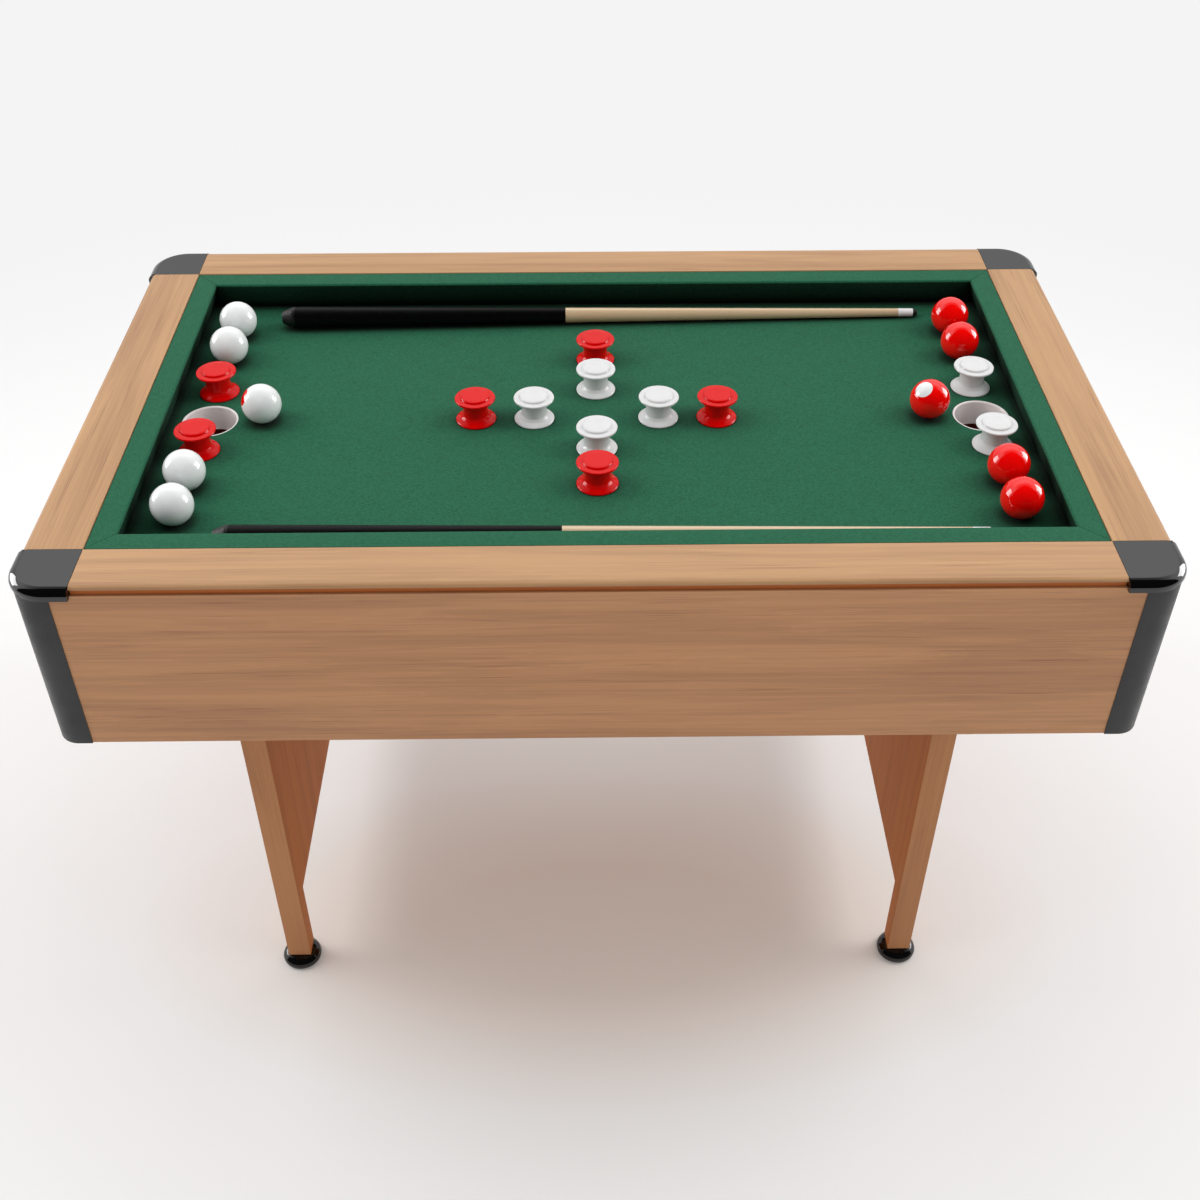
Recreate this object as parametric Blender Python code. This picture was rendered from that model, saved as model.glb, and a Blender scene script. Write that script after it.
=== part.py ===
"""A bumper pool table: cabinet, cushioned playfield with two pockets, twelve bumpers, ten balls and two cues.

The origin is on the floor under the middle of the table. +X runs along the table, +Y to its back and +Z up.
Lengths are in metres.
"""

from math import asin, atan2, cos, pi, radians, sin

import bmesh
import bpy
from mathutils import Matrix, Vector

# Overall
RAIL_TOP = 0.807
FIELD_HALF_X = 0.605  # from the middle to the inner edge of an end rail
FIELD_HALF_Y = 0.341  # from the middle to the inner edge of a long rail
BORDER = 0.0705  # from a rail's inner edge to the cabinet's outer face
FIELD_DEPTH = 0.0448  # from the rail tops down to the bed cloth
GAP = 0.0003  # between pieces that touch

# Rails, cushions and the caps on the rail corners
RAIL_OVERHANG = 0.0005
RAIL_ROUND = (0.0065, 0.0040)  # how far the rounding runs in, and how far down
RAIL_LIP = 0.0045
RAIL_INNER_THICKNESS = 0.030
GROOVE_DEPTH = 0.003
GROOVE_BOTTOM = 0.0130
CUSHION_WIDTH = 0.032
CUSHION_FOOT = 0.020
CUSHION_DROP = 0.0008
NOSE_RADIUS = 0.003
CAP_OVERHANG = 0.0083
CAP_RADIUS = 0.050
CAP_HEIGHT = 0.0152
CAP_SHOULDER = (0.0110, 0.0095)  # how far the shoulder runs in, and how far down
CAP_WALL = 0.003

# Cabinet
APRON_BOTTOM = 0.5568
APRON_THICKNESS = 0.015
TRIM_PROUD = 0.0015
TRIM_RADIUS = 0.029
TRIM_FLANGE = 0.017
TRIM_WALL = 0.004
TRIM_WEB = 0.003
BED_HALF = (0.6565, 0.3925)
BED_THICKNESS = 0.015
CLOTH_THICKNESS = 0.0012
BEAM_X = 0.220
BEAM_SIZE = (0.040, 0.035)

# Pockets, and the tray and window where the balls come back
POCKET_X = 0.530
POCKET_RADIUS = 0.0387
LINER_WALL = 0.003
LINER_DEPTH = 0.037
TRAY_INNER_X = 0.478
TRAY_HALF_Y = 0.085
TRAY_WALL = 0.007
TRAY_FLOOR_Z = 0.663
WINDOW_HALF_Y = 0.065
WINDOW_Z = (0.677, 0.737)

# Legs
LEG_X = (0.4395, 0.4730)
LEG_HALF_Y = 0.3400
LEG_BOTTOM = 0.0202
LEG_POST_DEPTH = 0.030
LEG_ARCH_TOP = 0.145
STEM_RADIUS = 0.004
STEM_TOP = 0.052

# Bumpers: middles of the centre cross, and of the pair beside each pocket
BUMPER_RADIUS = 0.0275
BUMPER_POST_RADIUS = 0.0172
CROSS_NEAR_X = 0.0850
CROSS_FAR_X = 0.1650
CROSS_NEAR_Y = 0.0735
CROSS_FAR_Y = 0.1550
POCKET_BUMPER_Y = 0.0730

# Balls and cues
BALL_RADIUS = 0.027
BALL_ROW_X = 0.5280
BALL_SOLO_X = 0.4555
BALL_ROW_Y = (0.2300, 0.1565)
CUE_LENGTH = 0.959
CUE_BUTT_LENGTH = 0.424
CUE_BUTT_RADIUS = 0.0155
CUE_TIP_RADIUS = 0.0060
CUE_END_RADIUS = 0.0090
CUE_END_CHAMFER = 0.016
CUES = {  # butt end and tip end, as seen from above
    "cue_back": ((-0.4680, 0.2568), (0.4907, 0.2775)),
    "cue_front": ((-0.4690, -0.2830), (0.4899, -0.2715)),
}

FIELD_Z = RAIL_TOP - FIELD_DEPTH
BED_TOP = FIELD_Z - CLOTH_THICKNESS - GAP
BED_BOTTOM = BED_TOP - BED_THICKNESS
TRIM_OUTER = BORDER + TRIM_PROUD  # from the field's corner, along X and along Y
SIDES = {  # turn about Z, distance of the rail's inner edge, half length of the rail
    "back": (0, FIELD_HALF_Y, FIELD_HALF_X),
    "left": (90, FIELD_HALF_X, FIELD_HALF_Y),
    "front": (180, FIELD_HALF_Y, FIELD_HALF_X),
    "right": (270, FIELD_HALF_X, FIELD_HALF_Y),
}
CORNERS = {  # turn about Z and signs of X and Y
    "back_right": (0, 1, 1),
    "back_left": (90, -1, 1),
    "front_left": (180, -1, -1),
    "front_right": (270, 1, -1),
}


def material(name, color, roughness, metallic=0.0):
    made = bpy.data.materials.new(name)
    made.use_nodes = True
    shader = made.node_tree.nodes["Principled BSDF"]
    shader.inputs["Base Color"].default_value = (*color, 1)
    shader.inputs["Roughness"].default_value = roughness
    shader.inputs["Metallic"].default_value = metallic
    made.diffuse_color = (*color, 1)
    return made


def make_materials():
    return {
        "rail_wood": material("rail_wood", (0.62, 0.37, 0.21), 0.45),
        "apron_wood": material("apron_wood", (0.50, 0.28, 0.15), 0.50),
        "leg_wood": material("leg_wood", (0.42, 0.22, 0.11), 0.50),
        "board": material("board", (0.45, 0.30, 0.18), 0.80),
        "cloth": material("cloth", (0.03, 0.13, 0.07), 0.95),
        "rail_cloth": material("rail_cloth", (0.04, 0.17, 0.09), 0.95),
        "cap_plastic": material("cap_plastic", (0.02, 0.02, 0.02), 0.15),
        "trim_plastic": material("trim_plastic", (0.06, 0.06, 0.06), 0.45),
        "foot_plastic": material("foot_plastic", (0.01, 0.01, 0.01), 0.12),
        "white_plastic": material("white_plastic", (0.85, 0.85, 0.85), 0.20),
        "red_plastic": material("red_plastic", (0.75, 0.01, 0.01), 0.20),
        "white_ball": material("white_ball", (0.90, 0.90, 0.88), 0.05),
        "red_ball": material("red_ball", (0.80, 0.01, 0.01), 0.05),
        "cue_butt": material("cue_butt", (0.015, 0.014, 0.014), 0.35),
        "cue_shaft": material("cue_shaft", (0.75, 0.60, 0.40), 0.35),
    }


def mesh_of(name, bm, sharp_degrees=35):
    """The bmesh as a mesh, with its faces pointing out and shaded smooth up to an angle."""
    bmesh.ops.recalc_face_normals(bm, faces=bm.faces)
    mesh = bpy.data.meshes.new(name)
    bm.to_mesh(mesh)
    bm.free()
    mesh.shade_smooth()
    mesh.set_sharp_from_angle(angle=radians(sharp_degrees))
    return mesh


def place(name, mesh, finish, location=(0, 0, 0), turn=0):
    """A new object, turned by degrees about Z. A mesh keeps the first finish that it gets."""
    if finish and not mesh.materials:
        mesh.materials.append(finish)
    made = bpy.data.objects.new(name, mesh)
    made.location = location
    made.rotation_euler = (0, 0, radians(turn))
    bpy.context.collection.objects.link(made)
    return made


def extruded(name, outline, start, vector, sharp_degrees=35):
    """A flat outline, given as 3-D points, moved to start and drawn out along a vector."""
    bm = bmesh.new()
    face = bm.faces.new([bm.verts.new(Vector(start) + Vector(point)) for point in outline])
    drawn = bmesh.ops.extrude_face_region(bm, geom=[face])["geom"]
    moved = [item for item in drawn if isinstance(item, bmesh.types.BMVert)]
    bmesh.ops.translate(bm, verts=moved, vec=vector)
    return mesh_of(name, bm, sharp_degrees)


def block(name, low, high):
    """A box between two corners."""
    bm = bmesh.new()
    bmesh.ops.create_cube(bm, size=1)
    size = Vector(high) - Vector(low)
    middle = (Vector(high) + Vector(low)) / 2
    bmesh.ops.transform(bm, matrix=Matrix.Translation(middle) @ Matrix.Diagonal((*size, 1)), verts=bm.verts)
    return mesh_of(name, bm)


def turned(name, profile, segments, closed=False):
    """(radius, height) points spun about Z. An open profile starts and ends on the axis."""
    bm = bmesh.new()
    points = [bm.verts.new((radius, 0, height)) for radius, height in profile]
    ends = points[1:] + points[:1] if closed else points[1:]
    edges = [bm.edges.new(pair) for pair in zip(points, ends)]
    bmesh.ops.spin(bm, geom=points + edges, axis=(0, 0, 1), cent=(0, 0, 0), angle=2 * pi, steps=segments)
    bmesh.ops.remove_doubles(bm, verts=bm.verts, dist=1e-6)
    return mesh_of(name, bm)


def lofted(name, rings, sharp_degrees=35):
    """Closed rings with the same number of points, joined in order, with a face over the first and the last."""
    bm = bmesh.new()
    loops = [[bm.verts.new(point) for point in ring] for ring in rings]
    for upper, lower in zip(loops, loops[1:]):
        for k in range(len(upper)):
            after = (k + 1) % len(upper)
            bm.faces.new((upper[k], upper[after], lower[after], lower[k]))
    bm.faces.new(loops[0])
    bm.faces.new(loops[-1])
    return mesh_of(name, bm, sharp_degrees)


def cut(target, name, mesh, location=(0, 0, 0), turn=0):
    """Takes the mesh's shape out of the target with a Boolean."""
    cutter = place(name, mesh, None, location, turn)
    cutter.hide_render = True
    cutter.display_type = "WIRE"
    boolean = target.modifiers.new(name, "BOOLEAN")
    boolean.operation = "DIFFERENCE"
    boolean.solver = "EXACT"
    boolean.object = cutter


def arc(middle, radius, start, end, steps):
    """Points from one angle to another, in degrees."""
    angles = [radians(start + (end - start) * k / steps) for k in range(steps + 1)]
    return [(middle[0] + radius * cos(a), middle[1] + radius * sin(a)) for a in angles]


def rail_profile():
    """The rail's section: Y runs outwards from its inner edge, and Z from its top."""
    outer = BORDER + RAIL_OVERHANG
    run, drop = RAIL_ROUND
    rounding = [(outer - run + run * y, drop * z - drop) for y, z in arc((0, 0), 1, 90, 0, 5)]
    groove = BORDER - GROOVE_DEPTH
    return [
        (GAP, 0),
        *rounding,
        (outer, -RAIL_LIP),
        (groove, -RAIL_LIP),
        (groove, -GROOVE_BOTTOM),
        (RAIL_INNER_THICKNESS, -GROOVE_BOTTOM),
        (RAIL_INNER_THICKNESS, BED_TOP + GAP - RAIL_TOP),
        (GAP, BED_TOP + GAP - RAIL_TOP),
    ]


def cushion_profile():
    """The cushion's section: Y is 0 at the rail and negative towards the field, and Z runs from the rail's top."""
    nose = (-CUSHION_WIDTH + NOSE_RADIUS, -2 * CUSHION_DROP - NOSE_RADIUS)
    floor = GAP - FIELD_DEPTH
    return [
        (0, -CUSHION_DROP),
        *arc(nose, NOSE_RADIUS, 95, 200, 6),
        (-CUSHION_FOOT, floor),
        (0, floor),
    ]


def make_side(side, finish):
    """One side of the table: its rail, cushion and apron."""
    turn, inner, half = SIDES[side]
    spin = Matrix.Rotation(radians(turn), 3, "Z")
    at_rail = spin @ Vector((0, inner, RAIL_TOP))

    outline = [(0, y, z) for y, z in rail_profile()]
    reach = half - GAP
    rail = extruded(f"rail_{side}", outline, (-reach, 0, 0), (2 * reach, 0, 0))
    place(f"rail_{side}", rail, finish["rail_wood"], at_rail, turn)

    ends = [[(sign * (half + y - GAP), y, z) for y, z in cushion_profile()] for sign in (-1, 1)]
    cushion = lofted(f"cushion_{side}", ends)
    place(f"cushion_{side}", cushion, finish["rail_cloth"], at_rail, turn)

    reach = half + TRIM_OUTER - TRIM_RADIUS - GAP
    low = (-reach, BORDER - APRON_THICKNESS, APRON_BOTTOM - RAIL_TOP)
    high = (reach, BORDER, -GROOVE_BOTTOM - GAP)
    apron = place(f"apron_{side}", block(f"apron_{side}", low, high), finish["apron_wood"], at_rail, turn)
    if side in ("left", "right"):
        window = block(
            f"window_{side}_cutter",
            (-WINDOW_HALF_Y, BORDER - 2 * APRON_THICKNESS, WINDOW_Z[0] - RAIL_TOP),
            (WINDOW_HALF_Y, BORDER + APRON_THICKNESS, WINDOW_Z[1] - RAIL_TOP),
        )
        cut(apron, f"window_{side}_cutter", window, at_rail, turn)


def cap_ring(inset, z, inner=GAP, steps=8):
    """The cap's outline, its two outer sides moved in by inset and its two inner sides at inner."""
    outer = BORDER + CAP_OVERHANG - inset
    radius = CAP_RADIUS - inset
    corner = arc((outer - radius, outer - radius), radius, 0, 90, steps)
    return [(x, y, z) for x, y in [(inner, inner), (outer, inner), *corner, (inner, outer)]]


def corner_cap_mesh():
    """A shell, open below: outside from the top down, then inside from the rim up."""
    run, drop = CAP_SHOULDER
    shoulder = [(run * (1 - sin(radians(a))), drop * (cos(radians(a)) - 1)) for a in (0, 20, 40, 60, 78)]
    outside = [cap_ring(inset, z) for inset, z in shoulder]
    outside += [cap_ring(0, -drop), cap_ring(0, -CAP_HEIGHT)]
    inside = [cap_ring(CAP_WALL, -CAP_HEIGHT, CAP_WALL), cap_ring(CAP_WALL, -drop, CAP_WALL)]
    inside += [cap_ring(run, -CAP_WALL, CAP_WALL)]
    return lofted("corner_cap", outside + inside, 50)


def corner_trim_mesh():
    """An extrusion with a rounded outside and, on each side, a slot that holds an apron's end."""
    outer = TRIM_OUTER
    bend = outer - TRIM_RADIUS  # where the rounding starts
    tip = bend - TRIM_FLANGE
    flange = outer - TRIM_PROUD + GAP
    slot = outer - TRIM_PROUD - APRON_THICKNESS - GAP
    wall_radius = TRIM_RADIUS - TRIM_WALL
    first = asin(TRIM_WEB / wall_radius) * 180 / pi
    half = [
        (outer, tip),
        (flange, tip),
        (flange, bend),
        (slot, bend),
        (slot, tip),
        (slot - TRIM_WEB, tip),
        (slot - TRIM_WEB, bend + TRIM_WEB),
    ]
    outline = half + arc((bend, bend), wall_radius, first, 90 - first, 8)
    outline += [(y, x) for x, y in reversed(half)]
    outline += arc((bend, bend), TRIM_RADIUS, 90, 0, 10)
    height = RAIL_TOP - CAP_HEIGHT - APRON_BOTTOM
    points = [(x, y, 0) for x, y in outline]
    return extruded("corner_trim", points, (0, 0, 0), (0, 0, height - GAP), 50)


def make_corners(finish):
    """The caps, relieved over the ends of the aprons, and the trims below them."""
    cap = corner_cap_mesh()
    trim = corner_trim_mesh()
    face = BORDER + GAP
    end = TRIM_OUTER - TRIM_RADIUS
    plan = [(-face, -face), (face, -face), (face, end), (end, face), (-face, face)]
    relief = extruded("cap_relief", [(x, y, 0) for x, y in plan], (0, 0, -face), (0, 0, face - GROOVE_BOTTOM))
    for corner, (turn, sign_x, sign_y) in CORNERS.items():
        x, y = sign_x * FIELD_HALF_X, sign_y * FIELD_HALF_Y
        shell = place(f"corner_cap_{corner}", cap, finish["cap_plastic"], (x, y, RAIL_TOP), turn)
        cut(shell, f"cap_{corner}_cutter", relief, (x, y, RAIL_TOP), turn)
        place(f"corner_trim_{corner}", trim, finish["trim_plastic"], (x, y, APRON_BOTTOM), turn)


def make_bed(finish):
    """The bed board with its cloth, the two beams below it, and the two pocket holes through both."""
    x, y = BED_HALF
    board = place("bed_board", block("bed_board", (-x, -y, BED_BOTTOM), (x, y, BED_TOP)), finish["board"])
    x, y = FIELD_HALF_X - GAP, FIELD_HALF_Y - GAP
    cloth = place("bed_cloth", block("bed_cloth", (-x, -y, BED_TOP + GAP), (x, y, FIELD_Z)), finish["cloth"])
    hole = [(0, 0.05), (POCKET_RADIUS, 0.05), (POCKET_RADIUS, -0.05), (0, -0.05)]
    for side, sign in (("left", -1), ("right", 1)):
        where = (sign * POCKET_X, 0, FIELD_Z)
        cut(board, f"board_hole_{side}_cutter", turned("hole", hole, 32), where)
        cut(cloth, f"cloth_hole_{side}_cutter", turned("hole", hole, 32), where)
        reach = FIELD_HALF_Y + BORDER - APRON_THICKNESS - GAP
        low = (sign * BEAM_X - BEAM_SIZE[0] / 2, -reach, BED_BOTTOM - GAP - BEAM_SIZE[1])
        high = (sign * BEAM_X + BEAM_SIZE[0] / 2, reach, BED_BOTTOM - GAP)
        place(f"bed_beam_{side}", block(f"bed_beam_{side}", low, high), finish["board"])


def make_pocket(side, sign, finish):
    """A liner tube in the bed, and the open tray under it that leads to the window in the end apron."""
    outer = POCKET_RADIUS - GAP
    inner = outer - LINER_WALL
    round_over = LINER_WALL / 2
    liner = [
        (outer, 0),
        (inner + round_over, 0),
        (inner + round_over / 3, -round_over / 3),
        (inner, -round_over),
        (inner, -LINER_DEPTH),
        (outer, -LINER_DEPTH),
    ]
    mesh = turned(f"pocket_liner_{side}", liner, 32, closed=True)
    place(f"pocket_liner_{side}", mesh, finish["white_plastic"], (sign * POCKET_X, 0, FIELD_Z))

    far = FIELD_HALF_X + BORDER - APRON_THICKNESS - GAP
    top = BED_BOTTOM - GAP
    low = (TRAY_INNER_X, -TRAY_HALF_Y, TRAY_FLOOR_Z - TRAY_WALL)
    body = block(f"ball_tray_{side}", low, (far, TRAY_HALF_Y, top))
    hollow_low = (TRAY_INNER_X + TRAY_WALL, TRAY_WALL - TRAY_HALF_Y, TRAY_FLOOR_Z)
    hollow = block(f"tray_{side}_cutter", hollow_low, (far + 0.05, TRAY_HALF_Y - TRAY_WALL, top + 0.05))
    turn = 0 if sign > 0 else 180
    tray = place(f"ball_tray_{side}", body, finish["board"], turn=turn)
    cut(tray, f"tray_{side}_cutter", hollow, turn=turn)


def leveller_mesh():
    """A domed foot with a flat sole and the plain stem that stands for its screw."""
    profile = [
        (0, STEM_TOP),
        (STEM_RADIUS, STEM_TOP),
        (STEM_RADIUS, 0.0199),
        (0.0120, 0.0199),
        (0.0150, 0.0185),
        (0.0225, 0.0160),
        (0.0274, 0.0110),
        (0.0288, 0.0070),
        (0.0284, 0.0030),
        (0.0255, 0),
        (0, 0),
    ]
    return turned("leveller", profile, 24)


def make_legs(finish):
    """An upright board at each end, cut out below so that two feet remain, with a leveller in each foot."""
    leveller = leveller_mesh()
    stem_hole = [(0, 0.055), (STEM_RADIUS + 0.0006, 0.055), (STEM_RADIUS + 0.0006, -0.01), (0, -0.01)]
    arch_half = LEG_HALF_Y - LEG_POST_DEPTH
    foot_x = sum(LEG_X) / 2
    foot_y = LEG_HALF_Y - LEG_POST_DEPTH / 2
    for side, sign in (("left", -1), ("right", 1)):
        inner, outer = sorted(sign * x for x in LEG_X)
        board = block(f"leg_frame_{side}", (inner, -LEG_HALF_Y, LEG_BOTTOM), (outer, LEG_HALF_Y, BED_BOTTOM - GAP))
        frame = place(f"leg_frame_{side}", board, finish["leg_wood"])
        arch = block(f"arch_{side}_cutter", (inner - 0.05, -arch_half, -0.05), (outer + 0.05, arch_half, LEG_ARCH_TOP))
        cut(frame, f"arch_{side}_cutter", arch)
        for end, end_sign in (("front", -1), ("back", 1)):
            where = (sign * foot_x, end_sign * foot_y, 0)
            cut(frame, f"stem_{end}_{side}_cutter", turned("stem_hole", stem_hole, 16), where)
            place(f"leveller_{end}_{side}", leveller, finish["foot_plastic"], where)


def bumper_mesh(name):
    """A spool: a flared foot, a slightly waisted post, a thin flange and a raised button on top."""
    rim, post = BUMPER_RADIUS, BUMPER_POST_RADIUS
    profile = [
        (0, 0.0378),
        (0.0150, 0.0378),
        (0.0200, 0.0356),
        (rim - 0.0010, 0.0345),
        (rim, 0.0328),
        (rim - 0.0010, 0.0315),
        (post + 0.0015, 0.0295),
        (post, 0.0260),
        (post, 0.0100),
        (post + 0.0030, 0.0055),
        (rim, 0.0022),
        (rim, 0),
        (0, 0),
    ]
    return turned(name, profile, 20)


def make_bumpers(finish):
    """Four white and four red bumpers in the middle cross, two red ones at the left pocket, two white at the right."""
    meshes = {color: bumper_mesh(f"bumper_{color}") for color in ("white", "red")}
    spots = {
        "bumper_cross_white_left": (-CROSS_NEAR_X, 0),
        "bumper_cross_white_right": (CROSS_NEAR_X, 0),
        "bumper_cross_white_front": (0, -CROSS_NEAR_Y),
        "bumper_cross_white_back": (0, CROSS_NEAR_Y),
        "bumper_cross_red_left": (-CROSS_FAR_X, 0),
        "bumper_cross_red_right": (CROSS_FAR_X, 0),
        "bumper_cross_red_front": (0, -CROSS_FAR_Y),
        "bumper_cross_red_back": (0, CROSS_FAR_Y),
        "bumper_pocket_red_front": (-POCKET_X, -POCKET_BUMPER_Y),
        "bumper_pocket_red_back": (-POCKET_X, POCKET_BUMPER_Y),
        "bumper_pocket_white_front": (POCKET_X, -POCKET_BUMPER_Y),
        "bumper_pocket_white_back": (POCKET_X, POCKET_BUMPER_Y),
    }
    for name, (x, y) in spots.items():
        color = name.split("_")[2]
        place(name, meshes[color], finish[f"{color}_plastic"], (x, y, FIELD_Z + GAP))


def ball_mesh(name):
    bm = bmesh.new()
    bmesh.ops.create_icosphere(bm, subdivisions=3, radius=BALL_RADIUS)
    return mesh_of(name, bm, 180)


def make_balls(finish):
    """Five white balls near the left pocket and five red ones near the right, the third of each in front of it."""
    far, near = BALL_ROW_Y
    row = [(BALL_ROW_X, far), (BALL_ROW_X, near), (BALL_SOLO_X, 0), (BALL_ROW_X, -near), (BALL_ROW_X, -far)]
    for color, sign in (("white", -1), ("red", 1)):
        mesh = ball_mesh(f"ball_{color}")
        for number, (x, y) in enumerate(row, 1):
            where = (sign * x, y, FIELD_Z + GAP + BALL_RADIUS)
            place(f"ball_{color}_{number}", mesh, finish[f"{color}_ball"], where)


def make_cue(name, butt_end, tip_end, finish):
    """A tapered cue lying on the cloth, as a butt and a shaft that meet at its joint."""
    taper = (CUE_BUTT_RADIUS - CUE_TIP_RADIUS) / CUE_LENGTH
    joint_radius = CUE_BUTT_RADIUS - taper * CUE_BUTT_LENGTH
    butt = [
        (0, 0),
        (CUE_END_RADIUS, 0),
        (CUE_BUTT_RADIUS - 0.002, CUE_END_CHAMFER * 0.7),
        (CUE_BUTT_RADIUS - taper * CUE_END_CHAMFER, CUE_END_CHAMFER),
        (joint_radius, CUE_BUTT_LENGTH),
        (0, CUE_BUTT_LENGTH),
    ]
    shaft = [
        (0, CUE_BUTT_LENGTH + GAP),
        (joint_radius, CUE_BUTT_LENGTH + GAP),
        (CUE_TIP_RADIUS, CUE_LENGTH - 0.002),
        (CUE_TIP_RADIUS - 0.0015, CUE_LENGTH),
        (0, CUE_LENGTH),
    ]
    lie = FIELD_Z + 2 * GAP
    start = Vector((*butt_end, lie + CUE_BUTT_RADIUS))
    along = Vector((*tip_end, lie + CUE_TIP_RADIUS)) - start
    for part, profile in (("butt", butt), ("shaft", shaft)):
        made = place(f"{name}_{part}", turned(f"{name}_{part}", profile, 16), finish[f"cue_{part}"], start)
        made.rotation_euler = (0, atan2(along.xy.length, along.z), atan2(along.y, along.x))


def main():
    for old in list(bpy.data.objects):
        bpy.data.objects.remove(old)
    finish = make_materials()
    for side in SIDES:
        make_side(side, finish)
    make_corners(finish)
    make_bed(finish)
    for side, sign in (("left", -1), ("right", 1)):
        make_pocket(side, sign, finish)
    make_legs(finish)
    make_bumpers(finish)
    make_balls(finish)
    for name, (butt_end, tip_end) in CUES.items():
        make_cue(name, butt_end, tip_end, finish)


main()
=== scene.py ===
"""The looks of the bumper pool table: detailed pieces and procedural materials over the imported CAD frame.

+X runs along the table, +Y to its back and +Z up. Lengths are in metres. A dimension that repeats one of the
CAD's is named as it is there.
"""

from math import asin, atan2, cos, degrees, pi, radians, sin, tan

import bmesh
import bpy
from mathutils import Matrix, Vector


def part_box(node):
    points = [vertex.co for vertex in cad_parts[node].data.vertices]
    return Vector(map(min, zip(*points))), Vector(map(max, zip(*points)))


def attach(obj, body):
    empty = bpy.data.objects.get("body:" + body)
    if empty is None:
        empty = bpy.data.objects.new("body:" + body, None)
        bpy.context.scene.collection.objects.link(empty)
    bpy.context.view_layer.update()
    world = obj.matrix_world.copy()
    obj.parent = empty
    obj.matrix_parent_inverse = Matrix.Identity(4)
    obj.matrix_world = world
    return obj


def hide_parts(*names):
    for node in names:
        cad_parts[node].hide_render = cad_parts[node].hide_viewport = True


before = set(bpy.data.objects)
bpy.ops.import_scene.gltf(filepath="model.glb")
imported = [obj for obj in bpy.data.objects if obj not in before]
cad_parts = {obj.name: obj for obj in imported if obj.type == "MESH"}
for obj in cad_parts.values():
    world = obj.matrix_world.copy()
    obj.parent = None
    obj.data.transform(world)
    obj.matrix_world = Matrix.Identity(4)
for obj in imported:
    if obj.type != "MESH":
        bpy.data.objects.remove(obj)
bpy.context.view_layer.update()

# From the frame
GAP = 0.0003
RAIL_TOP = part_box("rail_front")[1].z
FIELD_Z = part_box("bed_cloth")[1].z
FIELD_HALF_X = -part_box("bed_cloth")[0].x + GAP
FIELD_HALF_Y = -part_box("bed_cloth")[0].y + GAP
BORDER = -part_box("apron_front")[0].y - FIELD_HALF_Y
APRON_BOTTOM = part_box("apron_front")[0].z
BED_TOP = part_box("bed_board")[1].z
LEG_LOW, LEG_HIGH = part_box("leg_frame_right")
POCKET_X = (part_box("pocket_liner_right")[0].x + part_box("pocket_liner_right")[1].x) / 2
LINER_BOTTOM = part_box("pocket_liner_right")[0].z
CAP_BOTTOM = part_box("corner_cap_front_right")[0].z
TRIM_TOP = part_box("corner_trim_front_right")[1].z

# As in the CAD
APRON_THICKNESS = 0.015
RAIL_OVERHANG = 0.0005
RAIL_ROUND = (0.0065, 0.0040)
RAIL_LIP = 0.0045
RAIL_INNER_THICKNESS = 0.030
GROOVE_DEPTH = 0.003
GROOVE_BOTTOM = 0.0130
CUSHION_WIDTH = 0.032
CUSHION_FOOT = 0.020
CUSHION_DROP = 0.0008
NOSE_RADIUS = 0.003
CAP_OVERHANG = 0.0083
CAP_RADIUS = 0.050
CAP_SHOULDER = (0.0110, 0.0095)
CAP_WALL = 0.003
TRIM_PROUD = 0.0015
TRIM_RADIUS = 0.029
TRIM_FLANGE = 0.017
TRIM_WALL = 0.004
TRIM_WEB = 0.003
WINDOW_HALF_Y = 0.065
WINDOW_Z = (0.677, 0.737)
POCKET_RADIUS = 0.0387
LINER_WALL = 0.003
LEG_ARCH_TOP = 0.145
LEG_POST_DEPTH = 0.030
STEM_RADIUS = 0.004
STEM_TOP = 0.052
BUMPER_RADIUS = 0.0275
BUMPER_POST_RADIUS = 0.0172
BALL_RADIUS = 0.027
CUE_LENGTH = 0.959
CUE_BUTT_LENGTH = 0.424
CUE_BUTT_RADIUS = 0.0155
CUE_TIP_RADIUS = 0.0060
CUE_END_RADIUS = 0.0090
CUE_END_CHAMFER = 0.016
CUES = {  # butt end and tip end, as seen from above
    "cue_back": ((-0.4680, 0.2568), (0.4907, 0.2775)),
    "cue_front": ((-0.4690, -0.2830), (0.4899, -0.2715)),
}

# Details of the visible pieces
CAP_SHOULDER_BEND = (0.0099, 0.0024)  # the curve leaves the flat top at a crease of 14 degrees
CLOTH_TURN = 0.0002  # how far the cloth reaches into a pocket's hole
THREAD_ROOT = 0.0034
THREAD_PITCH = 0.00125
SPOT_DEGREES = 26  # from the middle of a ball's spot to its rim
CUE_TIP_HEIGHT = 0.0075
CUE_FERRULE_LENGTH = 0.0225

# Camera and light
CAMERA_AT = (-0.0143, -1.6846, RAIL_TOP + 1.0469)
CAMERA_TURN = (-40.10, 0.6487, -0.055)  # pitch, yaw to the right, roll
CAMERA_FOV = 45.0
PAPER = 0.905  # the pale surroundings as the camera sees them
WALL_BACK_HIGH = 1.42  # radiance of the room as the table sees it
WALL_BACK_LOW = 1.65
WALL_BACK_LOW_GLOSS = 0.74  # the same wall in reflections
WALL_SIDE = 1.20
WALL_FRONT = 0.46
WALL_FRONT_GLOSS = 0.02
CEILING = 0.38
LIGHT_AIM = (0, 0, 0.8)
SOFTBOX_AT = (2.3, 0.15, 2.75)  # the right one of a pair, like the window
SOFTBOX_SIZE = (1.25, 1.65)
SOFTBOX_WATTS = 31.0
WINDOW_AT = (5.5, 1.8, 2.3)
WINDOW_SIZE = (2.7, 3.2)
WINDOW_WATTS = 217.0
FLOOR_TONE = 0.91

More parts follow.
